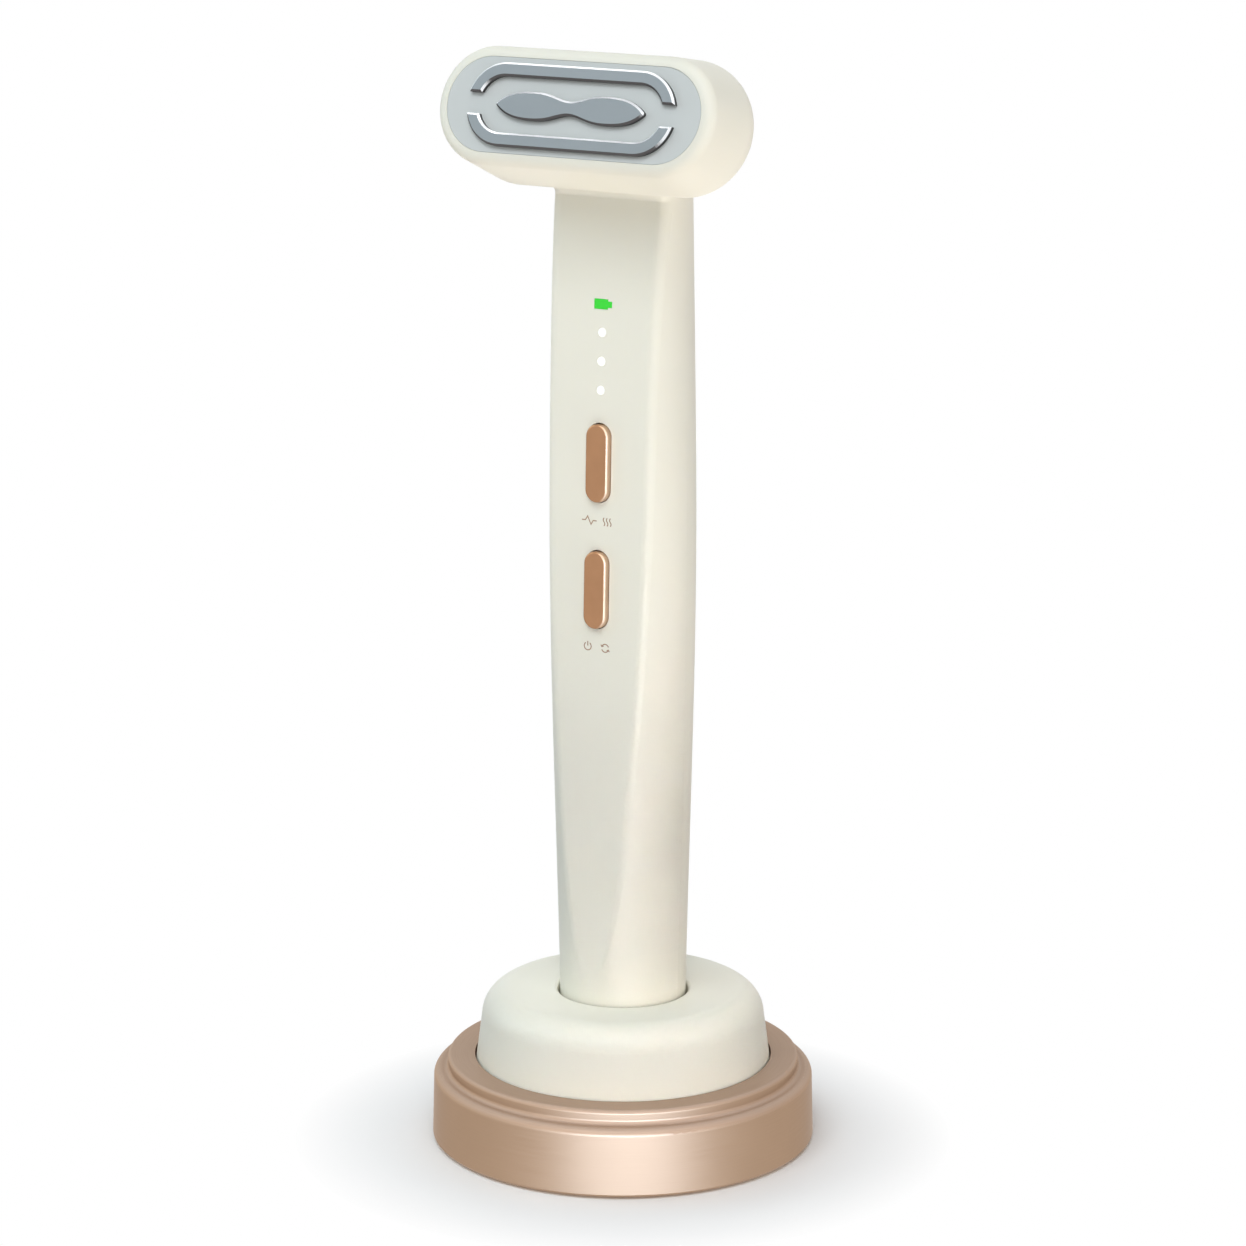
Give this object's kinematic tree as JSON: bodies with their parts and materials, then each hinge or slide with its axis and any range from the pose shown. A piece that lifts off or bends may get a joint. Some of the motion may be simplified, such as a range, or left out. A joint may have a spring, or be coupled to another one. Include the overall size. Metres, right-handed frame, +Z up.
{
  "type": "led facial wand",
  "caption": "Cordless facial wand with a tilted T-shaped head, raised electrodes on a light panel, push buttons and level lights, standing in a round charging dock.",
  "frame": {"origin": "on the surface that the dock stands on, on the axis of the dock and of the handle", "axes": "+Z up along the handle, -Y is the front, towards which the treatment face and the buttons look, and +X is to the right seen from the front"},
  "size_m": [0.0602, 0.0602, 0.1717],
  "materials": {
    "cream_shell": "satin",
    "rose_metal": "satin",
    "panel_grey": "satin",
    "electrode_metal": "polished",
    "green_light": "clear, lit green",
    "white_light": "clear, lit white",
    "soft_rubber": "matte",
    "dark_plastic": "moulded",
    "white_plastic": "moulded",
    "screw_steel": "plain",
    "ballast_iron": "rough",
    "circuit_green": "solder mask",
    "contact_brass": "plated",
    "cell_wrap": "shrink wrap",
    "led_body": "encapsulated",
    "heater_amber": "film"
  },
  "bodies": {
    "dock": {"dock_ring": "rose_metal", "dock_cup": "cream_shell", "dock_bottom_plate": "dark_plastic", "rubber_feet": "soft_rubber", "dock_screws": "screw_steel", "dock_weight": "ballast_iron", "dock_board": "circuit_green", "dock_board_screws": "screw_steel", "charging_port_shell": "screw_steel", "charging_port_tongue": "dark_plastic", "pogo_barrels": "contact_brass", "pogo_spring_left": "screw_steel", "pogo_spring_right": "screw_steel"},
    "wand": {"handle_housing": "cream_shell", "battery_indicator": "green_light", "dot_light_pipes": "white_light", "indicator_leds": "led_body", "switch_bases": "dark_plastic", "main_board": "circuit_green", "board_screws": "screw_steel", "chassis": "white_plastic", "battery_cell": "cell_wrap", "battery_tabs": "contact_brass", "bottom_cap": "cream_shell", "cap_seal": "soft_rubber", "cap_screw": "screw_steel", "contact_pads": "contact_brass", "head_housing": "cream_shell", "head_window": "panel_grey", "window_gasket": "soft_rubber", "electrode_upper": "electrode_metal", "electrode_lower": "electrode_metal", "electrode_centre": "electrode_metal", "heater_film": "heater_amber", "light_frame": "white_plastic", "led_board": "circuit_green", "treatment_leds": "led_body", "motor_cradle": "white_plastic", "motor_can": "screw_steel"},
    "key_upper": {"button_upper": "rose_metal", "switch_plunger_upper": "dark_plastic"},
    "key_lower": {"button_lower": "rose_metal", "switch_plunger_lower": "dark_plastic"},
    "rotor": {"motor_shaft": "screw_steel", "swing_weight": "screw_steel"},
    "pin_left": {"pogo_pin_left": "contact_brass"},
    "pin_right": {"pogo_pin_right": "contact_brass"}
  },
  "joints": [
    {"name": "wand_lift", "type": "slide", "parent": "dock", "child": "wand", "axis": [0, 0, 1], "range_m": [0, 0.06]},
    {"name": "key_upper_press", "type": "slide", "parent": "wand", "child": "key_upper", "axis": [0, 0.9995, -0.0326], "range_m": [0, 0.0005], "stiffness_N_per_m": 300},
    {"name": "key_lower_press", "type": "slide", "parent": "wand", "child": "key_lower", "axis": [0, 0.9995, -0.0326], "range_m": [0, 0.0005], "stiffness_N_per_m": 300},
    {"name": "motor_spin", "type": "hinge", "parent": "wand", "child": "rotor", "pos_m": [0, -0.00535, 0.16072], "axis": [1, 0, 0], "continuous": true},
    {"name": "pin_left_press", "type": "slide", "parent": "dock", "child": "pin_left", "axis": [0, 0, 1], "range_m": [-0.0006, 0], "stiffness_N_per_m": 150, "deforming": ["pogo_spring_left"]},
    {"name": "pin_right_press", "type": "slide", "parent": "dock", "child": "pin_right", "axis": [0, 0, 1], "range_m": [-0.0006, 0], "stiffness_N_per_m": 150, "deforming": ["pogo_spring_right"]}
  ]
}
